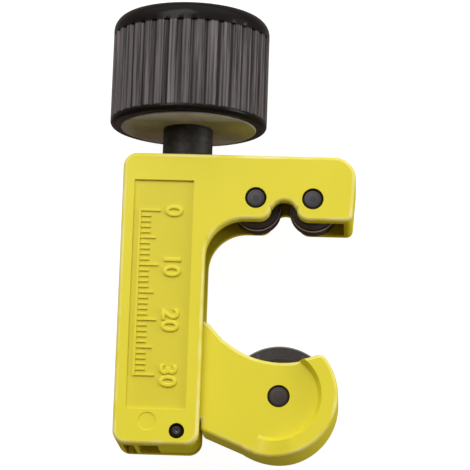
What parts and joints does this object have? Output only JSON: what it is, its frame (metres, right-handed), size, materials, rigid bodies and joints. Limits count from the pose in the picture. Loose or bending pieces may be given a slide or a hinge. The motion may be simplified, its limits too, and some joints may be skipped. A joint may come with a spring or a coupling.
{
  "type": "mini tube cutter",
  "caption": "Hand tube cutter: channel frame with guide rollers, screw-fed sliding jaw with a cutting wheel, ribbed round knob.",
  "frame": {"origin": "centre of the tool's bounding box in X and Y, at its lowest Z (under the knob's rim); the tool lies on its back", "axes": "+X toward the throat's open side, +Y along the feed screw toward the knob, +Z out of the panelled front face"},
  "size_m": [0.0454, 0.0816, 0.0287],
  "materials": {
    "body_paint": "smooth bright yellow coating on cast metal",
    "knob_plastic": "moulded black plastic, satin on the ribs",
    "core_plastic": "moulded dark grey plastic",
    "black_steel": "black oxide steel",
    "wheel_steel": "hardened blackened tool steel, ground edge",
    "roller_steel": "turned steel",
    "pin_steel": "blackened steel, ground ends",
    "clip_steel": "phosphated spring steel",
    "washer_steel": "bright stamped steel"
  },
  "bodies": {
    "frame_body": {"frame": "body_paint", "end_stop": "body_paint", "end_stop_pin": "black_steel", "roller_pin_left": "pin_steel", "roller_pin_right": "pin_steel", "thrust_washer": "washer_steel"},
    "knob_body": {"knob_grip": "knob_plastic", "knob_core": "core_plastic", "feed_screw": "black_steel", "screw_clip": "clip_steel"},
    "jaw_body": {"slide": "body_paint", "wheel_axle": "black_steel", "wheel_axle_clip": "clip_steel", "wheel_washer_front": "washer_steel", "wheel_washer_back": "washer_steel"},
    "wheel_body": {"cutter_wheel": "wheel_steel"},
    "roller_left_body": {"roller_left": "roller_steel"},
    "roller_right_body": {"roller_right": "roller_steel"}
  },
  "joints": [
    {"name": "knob_turn", "type": "hinge", "parent": "frame_body", "child": "knob_body", "pos_m": [-0.00831, 0.02975, 0.01435], "axis": [0, -1, 0], "range_deg": [0, 5400]},
    {"name": "slide_travel", "type": "slide", "parent": "frame_body", "child": "jaw_body", "axis": [0, 1, 0], "range_m": [0, 0.0225]},
    {"name": "cutter_wheel_spin", "type": "hinge", "parent": "jaw_body", "child": "wheel_body", "pos_m": [0.00989, -0.0297, 0.01435], "axis": [0, 0, 1], "continuous": true},
    {"name": "roller_left_spin", "type": "hinge", "parent": "frame_body", "child": "roller_left_body", "pos_m": [0.00476, 0.0059, 0.01435], "axis": [0, 0, 1], "continuous": true},
    {"name": "roller_right_spin", "type": "hinge", "parent": "frame_body", "child": "roller_right_body", "pos_m": [0.01501, 0.0059, 0.01435], "axis": [0, 0, 1], "continuous": true}
  ],
  "couplings": [
    {"joint": "knob_turn", "follows": "slide_travel", "rad_per_m": 4188.8}
  ]
}
